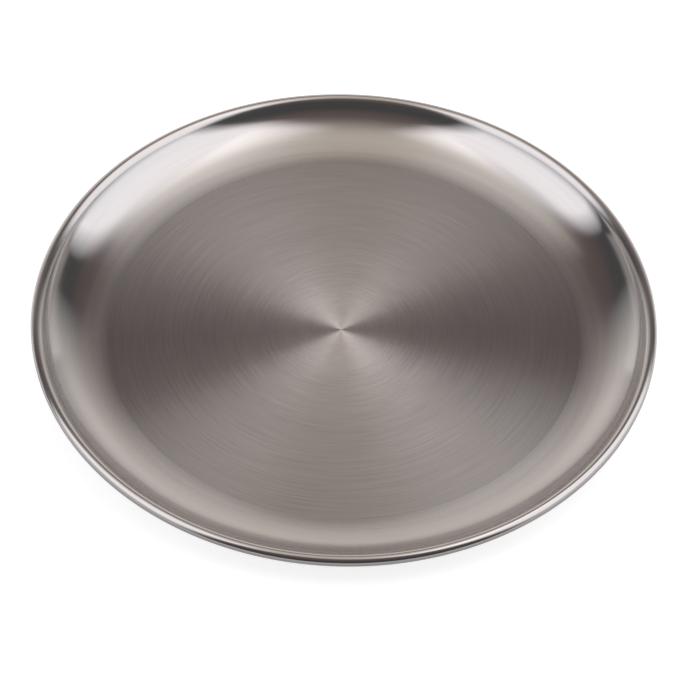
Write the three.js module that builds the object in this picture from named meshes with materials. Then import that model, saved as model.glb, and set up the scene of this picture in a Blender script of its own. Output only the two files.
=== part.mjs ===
// Round steel plate: one pressed sheet with a flat floor, a coved wall, and an edge turned up and rolled around a wire ring.
// Millimetres, +Z up. The origin is on the axis, on the surface that the plate stands on.
import * as THREE from 'three';

// Driving dimensions
const PLATE_DIAMETER = 260;
const FLOOR_DIAMETER = 198.4;
const INSIDE_DEPTH = 14.2; // from the floor up to the top of the rim
const SHEET_THICKNESS = 0.8;
const ROLL_DIAMETER = 4.7; // outside of the rolled rim's round section
const FLANK_RADIUS = 4.5; // of the rim's inner flank, an easier curve than the roll
const TURN_UP_RADIUS = 14; // of the hollow curve that lifts the wall into the rim's flank
const FLANK_SLOPE = 30; // degrees, where the flank runs into the roll
const STEEPEST_SLOPE = 62; // degrees, where the turn-up runs into the flank
const LEAST_TURN_UP = 2; // degrees that the turn-up adds to the slope of a wall too narrow for the steepest slope
const RAW_EDGE_GAP = 0.4; // from the sheet's trimmed edge to the underside of the wall, where the roll closes
const WIRE_CLEARANCE = 0.3; // all round the wire, inside the roll

// Facets of the round forms
const TURN_FACETS = 96;
const COVE_FACETS = 9;
const TURN_UP_FACETS = 3;
const FLANK_FACETS = 3;
const ROLL_FACETS = 16;
const WIRE_FACETS = 12;

// The roll: its section is a circle, and the sheet's lower face lines its bore.
const rollRadius = ROLL_DIAMETER / 2;
const boreRadius = rollRadius - SHEET_THICKNESS;
const rollRingRadius = PLATE_DIAMETER / 2 - rollRadius;
const rollHeight = SHEET_THICKNESS + INSIDE_DEPTH - rollRadius;

// The flank: its circle holds the roll's and touches it where the roll begins.
const flankSlope = THREE.MathUtils.degToRad(FLANK_SLOPE);
const flankShift = FLANK_RADIUS - rollRadius;
const flankRingRadius = rollRingRadius + flankShift * Math.sin(flankSlope);
const flankHeight = rollHeight - flankShift * Math.cos(flankSlope);

// A wall of one plain arc, from the floor to the flank. The turn-up is tighter and steeper than that arc.
const floorRadius = FLOOR_DIAMETER / 2;
const plainReach = flankRingRadius - floorRadius;
const plainRise = flankHeight - SHEET_THICKNESS;
const plainRadius = (plainReach ** 2 + plainRise ** 2 - FLANK_RADIUS ** 2) / (2 * (plainRise + FLANK_RADIUS));
const plainSlope = Math.atan2(plainReach, plainRadius - plainRise);

// The turn-up: a hollow curve whose circle touches the flank's from outside, at the steepest place.
const turnUpRadius = Math.min(TURN_UP_RADIUS, plainRadius / 2);
const steepestSlope = Math.max(
  THREE.MathUtils.degToRad(STEEPEST_SLOPE),
  plainSlope + THREE.MathUtils.degToRad(LEAST_TURN_UP),
);
const centresApart = FLANK_RADIUS + turnUpRadius;
const turnUpRingRadius = flankRingRadius - centresApart * Math.sin(steepestSlope);
const turnUpHeight = flankHeight + centresApart * Math.cos(steepestSlope);

// The cove: an arc that leaves the floor level and runs without a kink into the turn-up.
const coveReach = turnUpRingRadius - floorRadius;
const coveRise = turnUpHeight - turnUpRadius - SHEET_THICKNESS;
const wallAngle = 2 * Math.atan2(coveRise, coveReach);
const coveRadius = coveReach / Math.sin(wallAngle) + turnUpRadius;
const coveHeight = SHEET_THICKNESS + coveRadius;

const coveStart = -Math.PI / 2;
const coveEnd = coveStart + wallAngle;
const turnUpEnd = coveStart + steepestSlope;
const flankStart = Math.PI / 2 + steepestSlope;

// The roll starts at the flank and turns outward, down and back under until its edge nears the turn-up's lower face.
const rollStart = Math.PI / 2 + flankSlope;
const turnUpIn = rollRingRadius - turnUpRingRadius;
const turnUpOver = turnUpHeight - rollHeight;
const turnUpAway = Math.hypot(turnUpIn, turnUpOver);
const clearRadius = turnUpRadius + SHEET_THICKNESS + RAW_EDGE_GAP;
const openAngle = Math.acos(
  (rollRadius ** 2 + turnUpAway ** 2 - clearRadius ** 2) / (2 * rollRadius * turnUpAway),
);
const rollEnd = openAngle - Math.PI - Math.atan2(turnUpOver, turnUpIn);

function arc(centreX, centreY, radius, from, to, facets) {
  const clockwise = to < from;
  const curve = new THREE.EllipseCurve(centreX, centreY, radius, radius, from, to, clockwise);
  return curve.getPoints(facets);
}

function steel(colour, roughness) {
  return new THREE.MeshStandardMaterial({ color: colour, roughness: roughness, metalness: 1 });
}

// The sheet's section: out along the lower face, round the inside of the roll, and back over the upper face.
function sheetSection() {
  const lowerCove = arc(floorRadius, coveHeight, coveRadius + SHEET_THICKNESS, coveStart, coveEnd, COVE_FACETS);
  const lowerTurnUp = arc(
    turnUpRingRadius, turnUpHeight, turnUpRadius + SHEET_THICKNESS, coveEnd, turnUpEnd, TURN_UP_FACETS,
  );
  const lowerFlank = arc(
    flankRingRadius, flankHeight, FLANK_RADIUS - SHEET_THICKNESS, flankStart, rollStart, FLANK_FACETS,
  );
  const insideRoll = arc(rollRingRadius, rollHeight, boreRadius, rollStart, rollEnd, ROLL_FACETS);
  const outsideRoll = arc(rollRingRadius, rollHeight, rollRadius, rollEnd, rollStart, ROLL_FACETS);
  const upperFlank = arc(flankRingRadius, flankHeight, FLANK_RADIUS, rollStart, flankStart, FLANK_FACETS);
  const upperTurnUp = arc(turnUpRingRadius, turnUpHeight, turnUpRadius, turnUpEnd, coveEnd, TURN_UP_FACETS);
  const upperCove = arc(floorRadius, coveHeight, coveRadius, coveEnd, coveStart, COVE_FACETS);
  return [
    new THREE.Vector2(0, 0),
    ...lowerCove,
    ...lowerTurnUp.slice(1),
    ...lowerFlank.slice(1),
    ...insideRoll.slice(1),
    ...outsideRoll,
    ...upperFlank.slice(1),
    ...upperTurnUp.slice(1),
    ...upperCove.slice(1),
    new THREE.Vector2(0, SHEET_THICKNESS),
  ];
}

function pressedPlate() {
  const geometry = new THREE.LatheGeometry(sheetSection(), TURN_FACETS);
  geometry.rotateX(Math.PI / 2);
  const mesh = new THREE.Mesh(geometry, steel('#a89f98', 0.3));
  mesh.name = 'pressed_plate';
  return mesh;
}

// The wire is welded into a closed ring before the edge is rolled over it.
function rimWire() {
  const wireRadius = boreRadius - WIRE_CLEARANCE;
  const geometry = new THREE.TorusGeometry(rollRingRadius, wireRadius, WIRE_FACETS, TURN_FACETS);
  const mesh = new THREE.Mesh(geometry, steel('#83817e', 0.5));
  mesh.name = 'rim_wire';
  mesh.position.z = rollHeight;
  return mesh;
}

const plate = new THREE.Group();
plate.add(pressedPlate(), rimWire());

export default plate;
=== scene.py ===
"""Round steel plate.

A turned sheet with a brushed floor, a satin wall and a polished rolled rim, and the wire inside the rim.
"""

import math

import bpy
from bpy.props import FloatProperty, FloatVectorProperty, IntProperty, PointerProperty
from mathutils import Matrix, Vector


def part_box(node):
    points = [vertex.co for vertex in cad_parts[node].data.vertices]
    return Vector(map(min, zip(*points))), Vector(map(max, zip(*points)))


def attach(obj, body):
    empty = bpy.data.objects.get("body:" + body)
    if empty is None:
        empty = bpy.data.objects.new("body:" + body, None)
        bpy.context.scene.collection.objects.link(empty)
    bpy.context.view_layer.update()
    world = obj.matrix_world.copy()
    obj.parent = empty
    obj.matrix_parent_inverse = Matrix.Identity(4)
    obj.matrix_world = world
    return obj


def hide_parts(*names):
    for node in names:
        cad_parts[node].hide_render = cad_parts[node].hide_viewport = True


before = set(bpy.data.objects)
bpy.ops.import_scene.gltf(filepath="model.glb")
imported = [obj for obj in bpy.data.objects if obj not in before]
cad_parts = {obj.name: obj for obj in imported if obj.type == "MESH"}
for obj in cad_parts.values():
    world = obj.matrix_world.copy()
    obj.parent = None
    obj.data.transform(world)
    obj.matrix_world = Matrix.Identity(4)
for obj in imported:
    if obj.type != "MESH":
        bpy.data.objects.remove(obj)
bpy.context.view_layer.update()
PLATE_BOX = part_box("pressed_plate")

bl_info = {
    "name": "Round steel plate",
    "version": (1, 0, 0),
    "blender": (4, 5, 0),
    "location": "3D View > Sidebar > Plate",
    "description": "Builds a pressed steel plate with a wired, rolled rim, and a studio around it",
    "category": "Add Mesh",
}

QUARTER_TURN = math.pi / 2
FULL_TURN = 2 * math.pi

# Points nearer than the distance are merged, and edges sharper than the angle keep their crease.
MERGE_DISTANCE = 1e-6
SHARP_EDGE = math.radians(40)

# Steps along each stretch of the sheet's section, and round the wire's
FLOOR_RINGS = 36
COVE_STEPS = 48
TURN_UP_STEPS = 20
FLANK_STEPS = 20
ROLL_STEPS = 72
RAW_EDGE_STEPS = 1
BORE_STEPS = 40
UNDER_FLANK_STEPS = 8
UNDER_TURN_UP_STEPS = 8
UNDER_COVE_STEPS = 32
UNDER_FLOOR_RINGS = 12
WIRE_STEPS = 20

# Inputs of the groups that draw one stretch of a section
ARC_INPUTS = ("Centre Radius", "Centre Height", "Arc Radius", "First Angle", "Turn")
LINE_INPUTS = ("First Radius", "First Height", "Last Radius", "Last Height")

# The finishes of the sheet, by the number that its faces carry, and how near to it a face's number comes
ZONE_ATTRIBUTE = "finish_zone"
ZONE_MARGIN = 0.5
ZONES = ("floor", "wall", "rim", "underside")

# Tone and roughness of each finish along the radius, as (radius, value) stops within the ramp's reach.
# The rim's tone falls low on the outside of its roll, as painted shade.
RAMP_REACH = 0.13
# The floor's tones paint a brighter sheen towards its middle.
FLOOR_TONES_AND_PAINTED_SHEEN = ((0.0, 1.42), (0.012, 1.19), (0.035, 0.985), (0.06, 0.875), (0.1, 0.795))
FLOOR_ROUGHNESS = ((0.0, 0.289), (0.05, 0.253), (0.1, 0.253))
WALL_TONES = ((0.099, 0.795), (0.1045, 1.09), (0.107, 1.13), (0.111, 1.01), (0.125, 1.0))
WALL_ROUGHNESS = ((0.101, 0.305), (0.107, 0.243), (0.113, 0.15), (0.117, 0.105), (0.1245, 0.1))
RIM_TONES_AND_PAINTED_SHADE = ((0.12, 1.0), (0.1293, 1.0), (0.1298, 0.4), (0.13, 0.4))
RIM_ROUGHNESS = ((0.12, 0.15), (0.13, 0.15))
UNDERSIDE_TONES = ((0.0, 1.0), (0.13, 0.95))
UNDERSIDE_ROUGHNESS = ((0.0, 0.36), (0.13, 0.36))
WIRE_TONES = ((0.12, 1.0), (0.13, 1.0))
WIRE_ROUGHNESS = ((0.12, 0.45), (0.13, 0.45))

# Painted shade on the lower half of the roll: the share of tone left there, and half the height over which
# it sets in
ROLL_PAINTED_SHADE_TONE = 0.4
PAINTED_SHADE_FADE = 0.0004

# Centres of the spun lines. The floor was brushed a little off the plate's axis.
AXIS = (0.0, 0.0, 0.0)
BRUSH_CENTRE = (-0.0011, 0.0, 0.0)

# The spun lines and the broader bands among them: their breaks in a turn, their noise and their shares in
# the pattern. The range is the part of the pattern's values that spreads over the depth of a finish.
LINE_BREAKS = 2.8
LINE_FINENESS = 0.6
LINE_DETAIL = 2.0
LINE_SHARE = 0.88
BANDS_PER_LINE = 0.17
BAND_DETAIL = 1.0
BAND_SHARE = 0.12
PATTERN_RANGE = (0.3, 0.7)

# The clouds that wiping leaves: their size, their noise and the part of its values that dulls the polish
CLOUD_SIZE = 0.05
CLOUD_DETAIL = 3.0
CLOUD_ROUGHNESS = 0.55
CLOUD_DISTORTION = 0.6
CLOUD_RANGE = (0.25, 0.75)

# The white surface: a wide disc a hair under the plate, which loses its shading between two distances
TABLE_RADIUS = 8.0
TABLE_STEPS = 96
TABLE_HEIGHT = -1e-4
WHITE_FLOOR = (0.2, 0.7)

# Heights on the dome, as sines of the elevation, between which the room turns warm
ROOM_TURN = (0.5, 0.75)

# Colours of the lamps
PLAIN_WHITE = (1.0, 1.0, 1.0)
COOL_WHITE = (0.99, 1.0, 1.02)
WARM_WHITE = (1.075, 1.0, 0.915)
CREAM = (1.07, 1.0, 0.9)
AMBER = (1.04, 1.0, 0.87)

# Shares of the backdrop's half width between which its warm middle turns white
TINTED_MIDDLE = (0.1, 0.9)

# The photograph's camera, for a square picture. Its side and rise are how far it is moved left and down,
# so that the plate's middle lies right of the picture's middle and above it.
CAMERA_ELEVATION = math.radians(49.0473)
CAMERA_ROLL = math.radians(1.535)
CAMERA_DISTANCE = 1.03219
CAMERA_LENS = 130.0745
CAMERA_SENSOR = 36.0
CAMERA_SIDE = 0.0015965
CAMERA_RISE = 0.0042848


class PlateSizes(bpy.types.PropertyGroup):
    """Sizes of the sheet and the wire"""

    plate_diameter: FloatProperty(
        name="Plate Diameter",
        description="Over the rolled rim",
        default=PLATE_BOX[1][0] - PLATE_BOX[0][0],
        unit="LENGTH",
    )
    floor_diameter: FloatProperty(
        name="Floor Diameter",
        description="Where the flat floor turns up into the cove",
        default=0.1984,
        unit="LENGTH",
    )
    inside_depth: FloatProperty(
        name="Inside Depth",
        description="From the floor up to the top of the rim",
        default=0.0142,
        unit="LENGTH",
    )
    sheet_thickness: FloatProperty(
        name="Sheet Thickness",
        description="Of the steel sheet",
        default=0.0008,
        unit="LENGTH",
    )
    roll_diameter: FloatProperty(
        name="Roll Diameter",
        description="Outside of the rolled rim's round section",
        default=0.0047,
        unit="LENGTH",
    )
    flank_radius: FloatProperty(
        name="Flank Radius",
        description="Of the rim's inner flank, an easier curve than the roll",
        default=0.0045,
        unit="LENGTH",
    )
    turn_up_radius: FloatProperty(
        name="Turn-up Radius",
        description="Of the hollow curve that lifts the wall into the flank",
        default=0.014,
        unit="LENGTH",
    )
    flank_slope: FloatProperty(
        name="Flank Slope",
        description="Where the flank runs into the roll",
        default=math.radians(30),
        subtype="ANGLE",
    )
    steepest_slope: FloatProperty(
        name="Steepest Slope",
        description="Where the turn-up runs into the flank",
        default=math.radians(62),
        subtype="ANGLE",
    )
    raw_edge_gap: FloatProperty(
        name="Raw Edge Gap",
        description="From the trimmed edge to the wall, where the roll closes",
        default=0.0004,
        unit="LENGTH",
    )
    wire_clearance: FloatProperty(
        name="Wire Clearance",
        description="All round the wire, inside the roll",
        default=0.0003,
        unit="LENGTH",
    )
    turn_steps: IntProperty(
        name="Turn Steps",
        description="Faces in one turn round the axis",
        default=320,
        min=24,
    )


class PlateFinish(bpy.types.PropertyGroup):
    """Colours of the steel"""

    steel_colour: FloatVectorProperty(
        name="Steel",
        description="Colour of the bare steel",
        default=(0.549, 0.523, 0.522),
        subtype="COLOR",
        min=0,
        max=1,
    )
    wire_colour: FloatVectorProperty(
        name="Wire",
        description="Colour of the drawn wire",
        default=(0.5, 0.49, 0.48),
        subtype="COLOR",
        min=0,
        max=1,
    )


class PlateStudio(bpy.types.PropertyGroup):
    """The floor, the lamps and the room"""

    floor_colour: FloatVectorProperty(
        name="Table",
        description="Colour of the white surface",
        default=(0.6, 0.6, 0.6),
        subtype="COLOR",
        min=0,
        max=1,
    )
    floor_fill: FloatProperty(
        name="Table Fill",
        description="Glow that lifts the surface to white in the picture",
        default=0.7,
        min=0,
        max=1,
    )
    low_room_colour: FloatVectorProperty(
        name="Low Room",
        description="Dim light of the room near the horizon",
        default=(0.089, 0.090, 0.091),
        subtype="COLOR",
        min=0,
        max=1,
    )
    high_room_colour: FloatVectorProperty(
        name="High Room",
        description="Dim warm light of the room overhead",
        default=(0.158, 0.127, 0.120),
        subtype="COLOR",
        min=0,
        max=1,
    )
    softbox_level: FloatProperty(
        name="Softbox Level",
        description="Brightness of the two side softboxes",
        default=1.352,
        min=0,
    )
    backdrop_level: FloatProperty(
        name="Backdrop Level",
        description="Brightness of the panel behind",
        default=0.759,
        min=0,
    )
    overhead_level: FloatProperty(
        name="Overhead Level",
        description="Brightness of the panel overhead",
        default=0.6,
        min=0,
    )
    low_panel_level: FloatProperty(
        name="Low Panel Level",
        description="Brightness of the two low panels at the back corners",
        default=0.278,
        min=0,
    )


# Node helpers

FLOAT, INT, VECTOR = "NodeSocketFloat", "NodeSocketInt", "NodeSocketVector"
GEOMETRY, MATERIAL = "NodeSocketGeometry", "NodeSocketMaterial"


def add_node(tree, kind, inputs=None, **settings):
    """A node with its settings, and its inputs set to values or linked to sockets, by name or number."""
    node = tree.nodes.new(kind)
    for name, value in settings.items():
        setattr(node, name, value)
    for name, value in (inputs or {}).items():
        if isinstance(value, bpy.types.NodeSocket):
            tree.links.new(value, node.inputs[name])
        else:
            node.inputs[name].default_value = value
    return node


def calc(tree, operation, *values):
    """One Math node's result."""
    return add_node(tree, "ShaderNodeMath", dict(enumerate(values)), operation=operation).outputs[0]


def vector_calc(tree, operation, *values):
    """One Vector Math node's result, where that is a vector."""
    return add_node(tree, "ShaderNodeVectorMath", dict(enumerate(values)), operation=operation).outputs[0]


def length_of(tree, vector):
    """A vector's length."""
    return add_node(tree, "ShaderNodeVectorMath", {0: vector}, operation="LENGTH").outputs["Value"]


def point(tree, **axes):
    """A vector from its X, Y and Z, which are zero where they aren't given."""
    return add_node(tree, "ShaderNodeCombineXYZ", axes).outputs[0]


def axes_of(tree, vector):
    """A vector's X, Y and Z."""
    return add_node(tree, "ShaderNodeSeparateXYZ", {0: vector}).outputs


def make_group(name, kind, inputs, outputs):
    """An empty node group with named sockets, its Group Input and its Group Output."""
    tree = bpy.data.node_groups.new(name, kind)
    for label, socket_type in inputs:
        tree.interface.new_socket(label, in_out="INPUT", socket_type=socket_type)
    for label, socket_type in outputs:
        tree.interface.new_socket(label, in_out="OUTPUT", socket_type=socket_type)
    return tree, tree.nodes.new("NodeGroupInput").outputs, tree.nodes.new("NodeGroupOutput")


def place_group(tree, group, inputs):
    """A node that uses a group, with the group's inputs set or linked."""
    kind = "GeometryNodeGroup" if tree.bl_idname == "GeometryNodeTree" else "ShaderNodeGroup"
    return add_node(tree, kind, inputs, node_tree=group)


# Geometry trees
# A section is drawn with X as the radius and Y as minus the height, which is how a circle path carries it.


def shifted(tree, geometry, shift):
    """A geometry moved by a vector."""
    inputs = {"Geometry": geometry, "Translation": shift}
    return add_node(tree, "GeometryNodeTransform", inputs).outputs[0]


def swept(tree, section, radius, turn_steps):
    """A section carried round a circle path."""
    inputs = {"Resolution": turn_steps, "Radius": radius}
    path = add_node(tree, "GeometryNodeCurvePrimitiveCircle", inputs).outputs[0]
    inputs = {"Curve": path, "Profile Curve": section}
    return add_node(tree, "GeometryNodeCurveToMesh", inputs).outputs[0]


def section_arc_group():
    """An arc of the section, from its centre, radius, first angle and turn."""
    tree, given, result = make_group(
        "Section Arc",
        "GeometryNodeTree",
        [(name, FLOAT) for name in ARC_INPUTS] + [("Steps", INT)],
        [("Section", GEOMETRY)],
    )
    arc = add_node(
        tree,
        "GeometryNodeCurveArc",
        {
            "Resolution": calc(tree, "ADD", given["Steps"], 1),
            "Radius": given["Arc Radius"],
            "Start Angle": calc(tree, "MULTIPLY", given["First Angle"], -1),
            "Sweep Angle": calc(tree, "MULTIPLY", given["Turn"], -1),
        },
    )
    depth = calc(tree, "MULTIPLY", given["Centre Height"], -1)
    centre = point(tree, X=given["Centre Radius"], Y=depth)
    tree.links.new(shifted(tree, arc.outputs["Curve"], centre), result.inputs["Section"])
    return tree


def section_line_group():
    """A straight stretch of the section between two points."""
    tree, given, result = make_group(
        "Section Line",
        "GeometryNodeTree",
        [(name, FLOAT) for name in LINE_INPUTS] + [("Steps", INT)],
        [("Section", GEOMETRY)],
    )
    ends = []
    for end in ("First", "Last"):
        depth = calc(tree, "MULTIPLY", given[end + " Height"], -1)
        ends.append(point(tree, X=given[end + " Radius"], Y=depth))
    line = add_node(tree, "GeometryNodeCurvePrimitiveLine", {"Start": ends[0], "End": ends[1]})
    inputs = {"Curve": line.outputs[0], "Count": calc(tree, "ADD", given["Steps"], 1)}
    points = add_node(tree, "GeometryNodeResampleCurve", inputs, mode="COUNT")
    tree.links.new(points.outputs[0], result.inputs["Section"])
    return tree


def turning_group():
    """Turns a stretch of the section round the axis, and marks its faces with the number of their finish."""
    tree, given, result = make_group(
        "Turning",
        "GeometryNodeTree",
        [("Section", GEOMETRY), ("Path Radius", FLOAT), ("Turn Steps", INT), ("Zone", INT)],
        [("Mesh", GEOMETRY)],
    )
    inward = point(tree, X=calc(tree, "MULTIPLY", given["Path Radius"], -1))
    section = shifted(tree, given["Section"], inward)
    turned = swept(tree, section, given["Path Radius"], given["Turn Steps"])
    marked = add_node(
        tree,
        "GeometryNodeStoreNamedAttribute",
        {"Geometry": turned, "Name": ZONE_ATTRIBUTE, "Value": given["Zone"]},
        data_type="INT",
        domain="FACE",
    )
    tree.links.new(marked.outputs[0], result.inputs["Mesh"])
    return tree


def finish_mesh(tree, geometry):
    """Closes the seams and poles, and shades the mesh smooth except at its cut edges."""
    inputs = {"Geometry": geometry, "Distance": MERGE_DISTANCE}
    merged = add_node(tree, "GeometryNodeMergeByDistance", inputs).outputs[0]
    inputs = {"Geometry": merged, "Shade Smooth": True}
    smooth = add_node(tree, "GeometryNodeSetShadeSmooth", inputs, domain="FACE").outputs[0]
    angle = add_node(tree, "GeometryNodeInputMeshEdgeAngle").outputs["Unsigned Angle"]
    cut = calc(tree, "GREATER_THAN", angle, SHARP_EDGE)
    inputs = {"Geometry": smooth, "Selection": cut, "Shade Smooth": False}
    edged = add_node(tree, "GeometryNodeSetShadeSmooth", inputs, domain="EDGE").outputs[0]
    return add_node(tree, "GeometryNodeRealizeInstances", {"Geometry": edged}).outputs[0]


def turned_sheet_tree():
    """The whole sheet, from the driving sizes: floor, wall, rolled rim, raw edge and underside."""
    sizes = [
        "Plate Diameter",
        "Floor Diameter",
        "Inside Depth",
        "Sheet Thickness",
        "Roll Diameter",
        "Flank Radius",
        "Turn-up Radius",
        "Flank Slope",
        "Steepest Slope",
        "Raw Edge Gap",
    ]
    tree, given, result = make_group(
        "Turned Sheet",
        "GeometryNodeTree",
        [(s, FLOAT) for s in sizes] + [("Turn Steps", INT)] + [(z.title(), MATERIAL) for z in ZONES],
        [("Geometry", GEOMETRY)],
    )

    def plus(*terms):
        total = terms[0]
        for term in terms[1:]:
            total = calc(tree, "ADD", total, term)
        return total

    def minus(first, second):
        return calc(tree, "SUBTRACT", first, second)

    def times(first, second):
        return calc(tree, "MULTIPLY", first, second)

    def over(first, second):
        return calc(tree, "DIVIDE", first, second)

    def square(value):
        return calc(tree, "POWER", value, 2)

    def sine(value):
        return calc(tree, "SINE", value)

    def cosine(value):
        return calc(tree, "COSINE", value)

    def back(turn):
        return times(turn, -1)

    sheet, flank, turn_up = given["Sheet Thickness"], given["Flank Radius"], given["Turn-up Radius"]
    flank_slope, steepest = given["Flank Slope"], given["Steepest Slope"]
    roll = times(given["Roll Diameter"], 0.5)
    bore = minus(roll, sheet)
    floor_radius = times(given["Floor Diameter"], 0.5)
    ring_radius = minus(times(given["Plate Diameter"], 0.5), roll)
    ring_height = minus(plus(sheet, given["Inside Depth"]), roll)

    # The flank's circle holds the roll's and touches it where the roll begins.
    shift = minus(flank, roll)
    flank_radius = plus(ring_radius, times(shift, sine(flank_slope)))
    flank_height = minus(ring_height, times(shift, cosine(flank_slope)))

    # The turn-up's circle touches the flank's from outside, at the steepest place.
    apart = plus(flank, turn_up)
    turn_radius = minus(flank_radius, times(apart, sine(steepest)))
    turn_height = plus(flank_height, times(apart, cosine(steepest)))

    # The cove leaves the floor level and runs without a kink into the turn-up.
    reach = minus(turn_radius, floor_radius)
    rise = minus(minus(turn_height, turn_up), sheet)
    wall_angle = times(calc(tree, "ARCTAN2", rise, reach), 2)
    cove = plus(over(reach, sine(wall_angle)), turn_up)
    cove_height = plus(sheet, cove)

    # The roll ends where its raw edge is the gap away from the turn-up's lower face.
    outward, upward = minus(turn_radius, ring_radius), minus(turn_height, ring_height)
    away = calc(tree, "SQRT", plus(square(outward), square(upward)))
    clear = plus(turn_up, sheet, given["Raw Edge Gap"])
    surplus = minus(plus(square(roll), square(away)), square(clear))
    opening = calc(tree, "ARCCOSINE", over(surplus, times(times(roll, away), 2)))
    roll_end = plus(calc(tree, "ARCTAN2", upward, outward), opening, -FULL_TURN)
    roll_start = plus(flank_slope, QUARTER_TURN)
    roll_turn = minus(roll_start, roll_end)
    flank_start = plus(steepest, QUARTER_TURN)
    flank_turn = minus(steepest, flank_slope)
    turn_end = minus(steepest, QUARTER_TURN)
    cove_end = minus(wall_angle, QUARTER_TURN)
    turn_sweep = minus(steepest, wall_angle)

    raw_edge = []
    for radius in (roll, bore):
        raw_edge.append(plus(times(cosine(roll_end), radius), ring_radius))
        raw_edge.append(plus(times(sine(roll_end), radius), ring_height))

    # The stretches with their finishes, from the floor's middle over the rim to the underside's middle
    arc_group, line_group, turn_group = section_arc_group(), section_line_group(), turning_group()
    at_cove, at_turn = (floor_radius, cove_height), (turn_radius, turn_height)
    at_flank, at_roll = (flank_radius, flank_height), (ring_radius, ring_height)

    def arc(zone, steps, *values):
        return zone, arc_group, {**dict(zip(ARC_INPUTS, values)), "Steps": steps}

    def line(zone, steps, *values):
        return zone, line_group, {**dict(zip(LINE_INPUTS, values)), "Steps": steps}

    stretches = [
        line("floor", FLOOR_RINGS, 0.0, sheet, floor_radius, sheet),
        arc("wall", COVE_STEPS, *at_cove, cove, -QUARTER_TURN, wall_angle),
        arc("wall", TURN_UP_STEPS, *at_turn, turn_up, cove_end, turn_sweep),
        arc("rim", FLANK_STEPS, *at_flank, flank, flank_start, back(flank_turn)),
        arc("rim", ROLL_STEPS, *at_roll, roll, roll_start, back(roll_turn)),
        line("underside", RAW_EDGE_STEPS, *raw_edge),
        arc("underside", BORE_STEPS, *at_roll, bore, roll_end, roll_turn),
        arc("underside", UNDER_FLANK_STEPS, *at_flank, minus(flank, sheet), roll_start, flank_turn),
        arc("underside", UNDER_TURN_UP_STEPS, *at_turn, plus(turn_up, sheet), turn_end, back(turn_sweep)),
        arc("underside", UNDER_COVE_STEPS, *at_cove, plus(cove, sheet), cove_end, back(wall_angle)),
        line("underside", UNDER_FLOOR_RINGS, floor_radius, 0.0, 0.0, 0.0),
    ]
    joined = add_node(tree, "GeometryNodeJoinGeometry")
    for zone, group, values in stretches:
        turned = place_group(
            tree,
            turn_group,
            {
                "Section": place_group(tree, group, values).outputs[0],
                "Path Radius": floor_radius,
                "Turn Steps": given["Turn Steps"],
                "Zone": ZONES.index(zone),
            },
        )
        tree.links.new(turned.outputs[0], joined.inputs[0])
    geometry = finish_mesh(tree, joined.outputs[0])
    marks = add_node(tree, "GeometryNodeInputNamedAttribute", {"Name": ZONE_ATTRIBUTE}, data_type="INT")
    for number, zone in enumerate(ZONES):
        here = calc(tree, "COMPARE", marks.outputs["Attribute"], number, ZONE_MARGIN)
        inputs = {"Geometry": geometry, "Selection": here, "Material": given[zone.title()]}
        geometry = add_node(tree, "GeometryNodeSetMaterial", inputs).outputs[0]
    tree.links.new(geometry, result.inputs["Geometry"])
    return tree


def wire_ring_tree():
    """The closed wire ring that lies in the roll."""
    sizes = ["Plate Diameter", "Inside Depth", "Sheet Thickness", "Roll Diameter", "Wire Clearance"]
    tree, given, result = make_group(
        "Wire Ring",
        "GeometryNodeTree",
        [(s, FLOAT) for s in sizes] + [("Turn Steps", INT), ("Wire", MATERIAL)],
        [("Geometry", GEOMETRY)],
    )
    roll = calc(tree, "MULTIPLY", given["Roll Diameter"], 0.5)
    plate_radius = calc(tree, "MULTIPLY", given["Plate Diameter"], 0.5)
    ring_radius = calc(tree, "SUBTRACT", plate_radius, roll)
    plate_height = calc(tree, "ADD", given["Sheet Thickness"], given["Inside Depth"])
    ring_height = calc(tree, "SUBTRACT", plate_height, roll)
    bore = calc(tree, "SUBTRACT", roll, given["Sheet Thickness"])
    wire = calc(tree, "SUBTRACT", bore, given["Wire Clearance"])
    inputs = {"Resolution": WIRE_STEPS, "Radius": wire}
    section = add_node(tree, "GeometryNodeCurvePrimitiveCircle", inputs).outputs[0]
    ring = swept(tree, section, ring_radius, given["Turn Steps"])
    raised = shifted(tree, ring, point(tree, Z=ring_height))
    inputs = {"Geometry": finish_mesh(tree, raised), "Material": given["Wire"]}
    made = add_node(tree, "GeometryNodeSetMaterial", inputs)
    tree.links.new(made.outputs[0], result.inputs["Geometry"])
    return tree


def tree_inputs(group):
    """The values of a property group, under the names that the geometry trees' inputs share with it."""
    properties = group.bl_rna.properties
    return {properties[key].name: getattr(group, key) for key in group.__annotations__}


def grow_piece(name, tree, inputs):
    """A plain mesh object from a geometry tree, with the tree's named inputs set."""
    piece = bpy.data.objects.new(name, bpy.data.meshes.new(name))
    bpy.context.scene.collection.objects.link(piece)
    modifier = piece.modifiers.new(tree.name, "NODES")
    modifier.node_group = tree
    for socket in tree.interface.items_tree:
        if socket.in_out == "INPUT":
            modifier[socket.identifier] = inputs[socket.name]
    evaluated = piece.evaluated_get(bpy.context.evaluated_depsgraph_get())
    mesh = bpy.data.meshes.new_from_object(evaluated)
    piece.modifiers.remove(modifier)
    piece.data = mesh
    mesh.name = name
    if not mesh.polygons:
        raise RuntimeError(name + " came out empty")
    return piece


# Finishes


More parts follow.
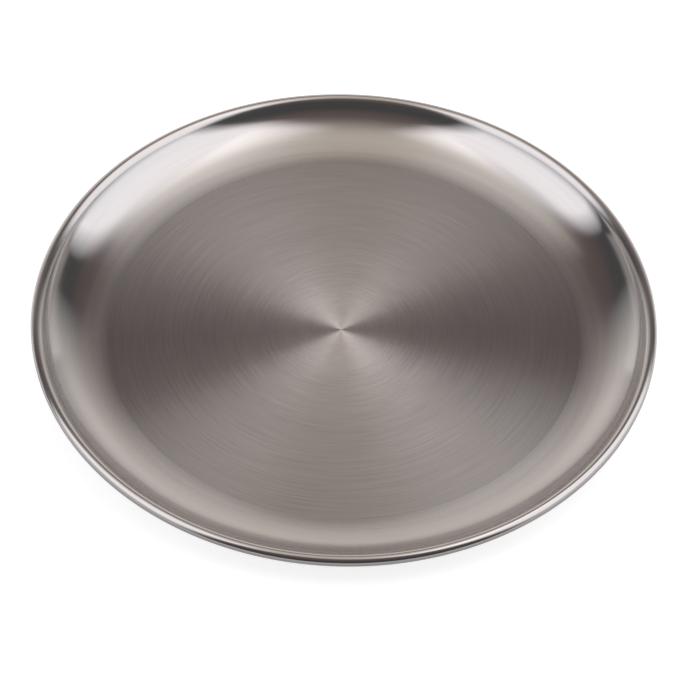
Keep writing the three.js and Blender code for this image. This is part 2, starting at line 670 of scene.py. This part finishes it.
def spun_lines_group():
    """Fine lines that run round the axis, as spinning against an abrasive leaves them."""
    name = "Spun Lines"
    if name in bpy.data.node_groups:
        return bpy.data.node_groups[name]
    tree, given, result = make_group(
        name,
        "ShaderNodeTree",
        [("Centre", VECTOR), ("Line Spacing", FLOAT), ("Breaks", FLOAT), ("Fineness", FLOAT)],
        [("Lines", FLOAT), ("Bands", FLOAT), ("Radius", FLOAT), ("Height", FLOAT)],
    )
    place = add_node(tree, "ShaderNodeTexCoord").outputs["Object"]
    axes = axes_of(tree, vector_calc(tree, "SUBTRACT", place, given["Centre"]))
    flat = point(tree, X=axes["X"], Y=axes["Y"])
    radius = length_of(tree, flat)
    turn = axes_of(tree, vector_calc(tree, "NORMALIZE", flat))

    # Radius and height together count the lines, so that steep parts have them too.
    across = calc(tree, "DIVIDE", calc(tree, "ADD", radius, axes["Z"]), given["Line Spacing"])
    for label, ratio, detail in (("Lines", 1.0, LINE_DETAIL), ("Bands", BANDS_PER_LINE, BAND_DETAIL)):
        sample = point(
            tree,
            X=calc(tree, "MULTIPLY", across, ratio),
            Y=calc(tree, "MULTIPLY", turn["X"], given["Breaks"]),
            Z=calc(tree, "MULTIPLY", turn["Y"], given["Breaks"]),
        )
        inputs = {"Vector": sample, "Scale": 1.0, "Detail": detail, "Roughness": given["Fineness"]}
        noise = add_node(tree, "ShaderNodeTexNoise", inputs)
        tree.links.new(noise.outputs[0], result.inputs[label])
    tree.links.new(radius, result.inputs["Radius"])
    tree.links.new(axes["Z"], result.inputs["Height"])
    return tree


def wiping_group():
    """Faint clouds where a cloth and fingers have dulled the polish."""
    name = "Wiping Clouds"
    if name in bpy.data.node_groups:
        return bpy.data.node_groups[name]
    tree, given, result = make_group(name, "ShaderNodeTree", [("Cloud Size", FLOAT)], [("Clouds", FLOAT)])
    noise = add_node(
        tree,
        "ShaderNodeTexNoise",
        {
            "Vector": add_node(tree, "ShaderNodeTexCoord").outputs["Object"],
            "Scale": calc(tree, "DIVIDE", 1.0, given["Cloud Size"]),
            "Detail": CLOUD_DETAIL,
            "Roughness": CLOUD_ROUGHNESS,
            "Distortion": CLOUD_DISTORTION,
        },
    )
    tree.links.new(noise.outputs[0], result.inputs["Clouds"])
    return tree


def map_range(tree, value, start, end, low, high, smooth=False):
    """A value moved from one range to another, and kept inside it."""
    kind = "SMOOTHSTEP" if smooth else "LINEAR"
    inputs = {"Value": value, "From Min": start, "From Max": end, "To Min": low, "To Max": high}
    return add_node(tree, "ShaderNodeMapRange", inputs, interpolation_type=kind).outputs[0]


def shaded(tree, colour, shade):
    """A colour times a grey value."""
    inputs = {0: colour[:3], "Scale": shade}
    return add_node(tree, "ShaderNodeVectorMath", inputs, operation="SCALE").outputs[0]


def mixed(tree, share, first, second):
    """A colour between two, by the share of the second."""
    mix = add_node(tree, "ShaderNodeMix", data_type="RGBA")
    by_name = {socket.identifier: socket for socket in mix.inputs}
    tree.links.new(share, by_name["Factor_Float"])
    by_name["A_Color"].default_value = (*first, 1)
    by_name["B_Color"].default_value = (*second, 1)
    return next(socket for socket in mix.outputs if socket.identifier == "Result_Color")


def along_radius(tree, radius, stops):
    """A value along the radius, from (radius, value) stops."""
    ramp = add_node(tree, "ShaderNodeValToRGB", {0: calc(tree, "DIVIDE", radius, RAMP_REACH)})
    ramp.color_ramp.interpolation = "EASE"
    elements = ramp.color_ramp.elements
    while len(elements) < len(stops):
        elements.new(1.0)
    for element, (place, value) in zip(elements, stops):
        element.position = place / RAMP_REACH
        element.color = (value, value, value, 1)
    return ramp.outputs[0]


def brushed_along(tree, centre):
    """The level direction away from a centre, in which brushing round that centre spreads its shine."""
    place = add_node(tree, "ShaderNodeTexCoord").outputs["Object"]
    outward = vector_calc(tree, "SUBTRACT", place, centre)
    level = vector_calc(tree, "MULTIPLY", outward, (1, 1, 0))
    kinds = {"vector_type": "VECTOR", "convert_from": "OBJECT", "convert_to": "WORLD"}
    return add_node(tree, "ShaderNodeVectorTransform", {0: level}, **kinds).outputs[0]


def steel_material(
    name,
    colour,
    roughness,
    tones,
    *,
    spacing,
    depth,
    relief=0.0,
    dulling=0.1,
    centre=AXIS,
    anisotropy=0.0,
    painted_shade_below=None,
):
    """Bare steel. Its spun lines vary its tone and relief, and faint clouds dull its polish.

    Roughness and tones are stops along the radius. Spacing is from line to line, depth and dulling are
    shares, and relief is a height. The last argument paints shade under a height: it gives that height and
    the share of tone left there.
    """
    material = bpy.data.materials.new(name)
    material.use_nodes = True
    tree = material.node_tree
    shader = next(n for n in tree.nodes if n.bl_idname == "ShaderNodeBsdfPrincipled")
    shader.inputs["Metallic"].default_value = 1.0
    settings = {"Centre": centre, "Line Spacing": spacing, "Breaks": LINE_BREAKS, "Fineness": LINE_FINENESS}
    lines = place_group(tree, spun_lines_group(), settings).outputs
    fine = calc(tree, "MULTIPLY", lines["Lines"], LINE_SHARE)
    broad = calc(tree, "MULTIPLY", lines["Bands"], BAND_SHARE)
    shade = map_range(tree, calc(tree, "ADD", fine, broad), *PATTERN_RANGE, 1 - depth, 1 + depth)
    tone = along_radius(tree, lines["Radius"], tones)
    # Painted shade: under the given height the tone falls to the share left there.
    if painted_shade_below:
        height, left = painted_shade_below
        fade = (height - PAINTED_SHADE_FADE, height + PAINTED_SHADE_FADE)
        tone = calc(tree, "MINIMUM", tone, map_range(tree, lines["Height"], *fade, left, 1.0, smooth=True))
    base = shaded(tree, colour, calc(tree, "MULTIPLY", shade, tone))
    tree.links.new(base, shader.inputs["Base Color"])
    clouds = place_group(tree, wiping_group(), {"Cloud Size": CLOUD_SIZE}).outputs["Clouds"]
    dulled = map_range(tree, clouds, *CLOUD_RANGE, 1 - dulling, 1 + dulling)
    polish = calc(tree, "MULTIPLY", along_radius(tree, lines["Radius"], roughness), dulled)
    tree.links.new(polish, shader.inputs["Roughness"])
    if relief:
        inputs = {"Strength": 1.0, "Distance": relief, "Height": lines["Lines"]}
        bump = add_node(tree, "ShaderNodeBump", inputs)
        tree.links.new(bump.outputs[0], shader.inputs["Normal"])
    if anisotropy:
        shader.inputs["Anisotropic"].default_value = anisotropy
        tree.links.new(brushed_along(tree, centre), shader.inputs["Tangent"])
    return material


class PLATE_OT_pressed_plate(bpy.types.Operator):
    """Turn the steel sheet: floor, cove, rolled rim and underside"""

    bl_idname = "plate.pressed_plate"
    bl_label = "Pressed Plate"

    def execute(self, context):
        sizes = context.scene.plate_sizes
        steel = context.scene.plate_finish.steel_colour
        ring_height = sizes.sheet_thickness + sizes.inside_depth - sizes.roll_diameter / 2
        inputs = tree_inputs(sizes)
        inputs["Floor"] = steel_material(
            "brushed_floor",
            steel,
            FLOOR_ROUGHNESS,
            FLOOR_TONES_AND_PAINTED_SHEEN,
            spacing=0.00055,
            depth=0.085,
            relief=2e-6,
            dulling=0.04,
            centre=BRUSH_CENTRE,
            anisotropy=0.982,
        )
        inputs["Wall"] = steel_material(
            "satin_wall",
            steel,
            WALL_ROUGHNESS,
            WALL_TONES,
            spacing=0.0011,
            depth=0.022,
            relief=4e-7,
            dulling=0.04,
            anisotropy=1.0,
        )
        inputs["Rim"] = steel_material(
            "polished_rim",
            steel,
            RIM_ROUGHNESS,
            RIM_TONES_AND_PAINTED_SHADE,
            spacing=0.0016,
            depth=0.02,
            # Painted shade on the lower half of the roll
            painted_shade_below=(ring_height - PAINTED_SHADE_FADE, ROLL_PAINTED_SHADE_TONE),
        )
        inputs["Underside"] = steel_material(
            "plain_underside",
            steel,
            UNDERSIDE_ROUGHNESS,
            UNDERSIDE_TONES,
            spacing=0.0018,
            depth=0.05,
            relief=2e-6,
            anisotropy=0.4,
        )
        plate = grow_piece("plate_sheet", turned_sheet_tree(), inputs)
        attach(plate, "root")
        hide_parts("pressed_plate")
        return {"FINISHED"}


class PLATE_OT_rim_wire(bpy.types.Operator):
    """Lay the wire ring in the rolled rim"""

    bl_idname = "plate.rim_wire"
    bl_label = "Rim Wire"

    def execute(self, context):
        inputs = tree_inputs(context.scene.plate_sizes)
        inputs["Wire"] = steel_material(
            "drawn_wire",
            context.scene.plate_finish.wire_colour,
            WIRE_ROUGHNESS,
            WIRE_TONES,
            spacing=0.0008,
            depth=0.06,
            relief=1e-6,
        )
        wire = grow_piece("wire_ring", wire_ring_tree(), inputs)
        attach(wire, "root")
        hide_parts("rim_wire")
        return {"FINISHED"}


# Stage


def facing(side, up, outward, centre):
    """The placing of a lamp or camera at a centre, which looks back against the outward direction."""
    return Matrix.Translation(centre) @ Matrix((side, up, outward)).transposed().to_4x4()


def soften_lamp(lamp, fades, colour):
    """Lets a panel lamp fade out towards its sides, foot and top, by shares of its width and height.

    An ellipse has one fade, a share of its radius, and its colour only in the middle: its ends are white.
    """
    lamp.use_nodes = True
    tree = lamp.node_tree
    glow = next(n for n in tree.nodes if n.bl_idname == "ShaderNodeEmission")
    axes = axes_of(tree, add_node(tree, "ShaderNodeNewGeometry").outputs["Parametric"])
    if lamp.shape == "ELLIPSE":
        away = [calc(tree, "ABSOLUTE", calc(tree, "MULTIPLY_ADD", axes[name], 2, -1)) for name in "XY"]
        squares = [calc(tree, "POWER", distance, 2) for distance in away]
        radius = calc(tree, "SQRT", calc(tree, "ADD", *squares))
        shares = [calc(tree, "DIVIDE", calc(tree, "SUBTRACT", 1, radius), fades[0])]
        end = map_range(tree, away[0], *TINTED_MIDDLE, 0.0, 1.0, smooth=True)
        tree.links.new(mixed(tree, end, colour, PLAIN_WHITE), glow.inputs["Color"])
    else:
        lamp.color = colour
        from_side = calc(tree, "MINIMUM", axes["X"], calc(tree, "SUBTRACT", 1, axes["X"]))
        edges = (from_side, axes["Y"], calc(tree, "SUBTRACT", 1, axes["Y"]))
        shares = [calc(tree, "DIVIDE", edge, fade) for edge, fade in zip(edges, fades)]
    strength = 1.0
    for share in shares:
        strength = calc(tree, "MULTIPLY", strength, calc(tree, "MINIMUM", share, 1))
    tree.links.new(strength, glow.inputs["Strength"])


def hang_lamp(
    name, azimuth, elevation, distance, reach_u, reach_v, fade, level, colour, shape="RECTANGLE", lean=0.0
):
    """A panel lamp that faces the plate.

    Its direction is an azimuth from the back (+Y) towards the right (+X) and an elevation. Its reach across
    and up, and a rectangle's fades, lie in the plane across that direction, as shares of the distance. Lean
    turns it in that plane. Angles are in degrees, and level is the brightness of its face.
    """
    a, e, turn = math.radians(azimuth), math.radians(elevation), math.radians(lean)
    towards = Vector((math.sin(a) * math.cos(e), math.cos(a) * math.cos(e), math.sin(e)))
    side = Vector((math.cos(a), -math.sin(a), 0))
    up = Vector((-math.sin(a) * math.sin(e), -math.cos(a) * math.sin(e), math.cos(e)))
    c, s = math.cos(turn), math.sin(turn)
    side, up = c * side - s * up, c * up + s * side
    width, height = reach_u[1] - reach_u[0], reach_v[1] - reach_v[0]
    lamp = bpy.data.lights.new(name, "AREA")
    lamp.shape = shape
    lamp.size, lamp.size_y = distance * width, distance * height
    area = lamp.size * lamp.size_y
    if shape == "ELLIPSE":
        area *= math.pi / 4
        soften_lamp(lamp, fade, colour)
    else:
        soften_lamp(lamp, (fade[0] / width, fade[1] / height, fade[2] / height), colour)
    lamp.energy = math.pi * level * area
    holder = bpy.data.objects.new(name, lamp)
    bpy.context.scene.collection.objects.link(holder)
    centre = distance * (towards + side * sum(reach_u) / 2 + up * sum(reach_v) / 2)
    holder.matrix_world = facing(-side, up, towards, centre)


def lay_floor(studio):
    """A white surface that keeps the plate's shadow and looks white to the camera and in reflections."""
    ring = []
    for step in range(TABLE_STEPS):
        turn = FULL_TURN * step / TABLE_STEPS
        ring.append((TABLE_RADIUS * math.cos(turn), TABLE_RADIUS * math.sin(turn), TABLE_HEIGHT))
    mesh = bpy.data.meshes.new("table_top")
    mesh.from_pydata(ring, [], [range(TABLE_STEPS)])
    floor = bpy.data.objects.new("table_top", mesh)
    bpy.context.scene.collection.objects.link(floor)
    material = bpy.data.materials.new("white_table")
    material.use_nodes = True
    tree = material.node_tree
    tree.nodes.clear()
    matt = add_node(tree, "ShaderNodeBsdfDiffuse", {"Color": (*studio.floor_colour, 1)})
    ray = add_node(tree, "ShaderNodeLightPath").outputs
    seen = calc(tree, "MAXIMUM", ray["Is Camera Ray"], ray["Is Glossy Ray"])
    seen = calc(tree, "MAXIMUM", seen, ray["Is Transmission Ray"])
    away = length_of(tree, add_node(tree, "ShaderNodeTexCoord").outputs["Object"])
    fill = map_range(tree, away, *WHITE_FLOOR, studio.floor_fill, 1.0, smooth=True)
    glow = add_node(tree, "ShaderNodeEmission", {"Strength": calc(tree, "MULTIPLY", seen, fill)})
    lit = add_node(tree, "ShaderNodeAddShader", {0: matt.outputs[0], 1: glow.outputs[0]})

    # From below, the camera looks through it.
    clear = add_node(tree, "ShaderNodeBsdfTransparent")
    backfacing = add_node(tree, "ShaderNodeNewGeometry").outputs["Backfacing"]
    below = calc(tree, "MULTIPLY", backfacing, ray["Is Camera Ray"])
    shown = add_node(tree, "ShaderNodeMixShader", {0: below, 1: lit.outputs[0], 2: clear.outputs[0]})
    add_node(tree, "ShaderNodeOutputMaterial", {"Surface": shown.outputs[0]})
    mesh.materials.append(material)


def set_room(studio):
    """The dim room around the panels, warmer overhead than near the horizon."""
    world = bpy.data.worlds.new("room")
    world.use_nodes = True
    tree = world.node_tree
    height = axes_of(tree, add_node(tree, "ShaderNodeTexCoord").outputs["Generated"])["Z"]
    high = map_range(tree, height, *ROOM_TURN, 0.0, 1.0, smooth=True)
    room = mixed(tree, high, studio.low_room_colour, studio.high_room_colour)
    tree.links.new(room, tree.nodes["Background"].inputs["Color"])
    bpy.context.scene.world = world


def aim_camera(thickness):
    """The camera of the photograph, aimed near the middle of the plate's floor."""
    e = CAMERA_ELEVATION
    right, up = Vector((1, 0, 0)), Vector((0, math.sin(e), math.cos(e)))
    outward = Vector((0, -math.cos(e), math.sin(e)))
    c, s = math.cos(CAMERA_ROLL), math.sin(CAMERA_ROLL)
    right, up = c * right + s * up, c * up - s * right
    data = bpy.data.cameras.new("photo_camera")
    data.lens, data.sensor_width = CAMERA_LENS, CAMERA_SENSOR
    camera = bpy.data.objects.new("photo_camera", data)
    bpy.context.scene.collection.objects.link(camera)
    middle = Vector((0, 0, thickness))
    place = middle + outward * CAMERA_DISTANCE - right * CAMERA_SIDE - up * CAMERA_RISE
    camera.matrix_world = facing(right, up, outward, place)
    bpy.context.scene.camera = camera


class PLATE_OT_stage(bpy.types.Operator):
    """Set the white surface, the lamps, the room and the camera"""

    bl_idname = "plate.stage"
    bl_label = "Stage"

    def execute(self, context):
        studio = context.scene.plate_studio
        lay_floor(studio)
        set_room(studio)
        hang_lamp(
            "softbox_right",
            azimuth=102.1,
            elevation=30.7,
            distance=0.814,
            reach_u=(-0.82, 0.53),
            reach_v=(-1.012, 1.467),
            fade=(0.239, 0.842, 0.72),
            level=studio.softbox_level,
            colour=COOL_WHITE,
            lean=-6,
        )
        hang_lamp(
            "softbox_left",
            azimuth=-113.2,
            elevation=24.0,
            distance=1.170,
            reach_u=(-0.49, 0.69),
            reach_v=(-0.789, 1.568),
            fade=(0.203, 0.820, 0.72),
            level=studio.softbox_level,
            colour=COOL_WHITE,
            lean=9,
        )
        hang_lamp(
            "backdrop_panel",
            azimuth=-3.5,
            elevation=1.0,
            distance=1.8,
            reach_u=(-1.483, 1.483),
            reach_v=(-0.331, 1.075),
            fade=(0.718,),
            level=studio.backdrop_level,
            colour=WARM_WHITE,
            shape="ELLIPSE",
        )
        hang_lamp(
            "overhead_panel",
            azimuth=0,
            elevation=89.6,
            distance=2.0,
            reach_u=(-0.429, 0.429),
            reach_v=(-0.624, 0.5),
            fade=(0.02, 0.02, 0.5),
            level=studio.overhead_level,
            colour=AMBER,
        )
        for side, azimuth in (("right", 54.0), ("left", -54.0)):
            hang_lamp(
                "low_panel_" + side,
                azimuth=azimuth,
                elevation=0,
                distance=1.5,
                reach_u=(-0.396, 0.396),
                reach_v=(-0.02, 0.45),
                fade=(0.04, 0.04, 0.2),
                level=studio.low_panel_level,
                colour=CREAM,
            )
        aim_camera(context.scene.plate_sizes.sheet_thickness)
        context.scene.view_settings.view_transform = "Standard"
        return {"FINISHED"}


class VIEW3D_PT_plate(bpy.types.Panel):
    """The plate's sizes, finishes and pieces"""

    bl_label = "Round Steel Plate"
    bl_space_type = "VIEW_3D"
    bl_region_type = "UI"
    bl_category = "Plate"

    def draw(self, context):
        for group in (context.scene.plate_sizes, context.scene.plate_finish, context.scene.plate_studio):
            box = self.layout.box()
            for name in group.__annotations__:
                box.prop(group, name)
        for operator in OPERATORS:
            self.layout.operator(operator.bl_idname)


OPERATORS = (PLATE_OT_pressed_plate, PLATE_OT_rim_wire, PLATE_OT_stage)
CLASSES = (PlateSizes, PlateFinish, PlateStudio, *OPERATORS, VIEW3D_PT_plate)


def register():
    """Adds the properties, the operators and the panel."""
    for cls in CLASSES:
        bpy.utils.register_class(cls)
    bpy.types.Scene.plate_sizes = PointerProperty(type=PlateSizes)
    bpy.types.Scene.plate_finish = PointerProperty(type=PlateFinish)
    bpy.types.Scene.plate_studio = PointerProperty(type=PlateStudio)


def unregister():
    """Takes the properties, the operators and the panel away."""
    del bpy.types.Scene.plate_sizes, bpy.types.Scene.plate_finish, bpy.types.Scene.plate_studio
    for cls in reversed(CLASSES):
        bpy.utils.unregister_class(cls)


def main():
    """Builds the plate and its studio."""
    register()
    bpy.ops.plate.pressed_plate()
    bpy.ops.plate.rim_wire()
    bpy.ops.plate.stage()


if __name__ == "__main__":
    main()
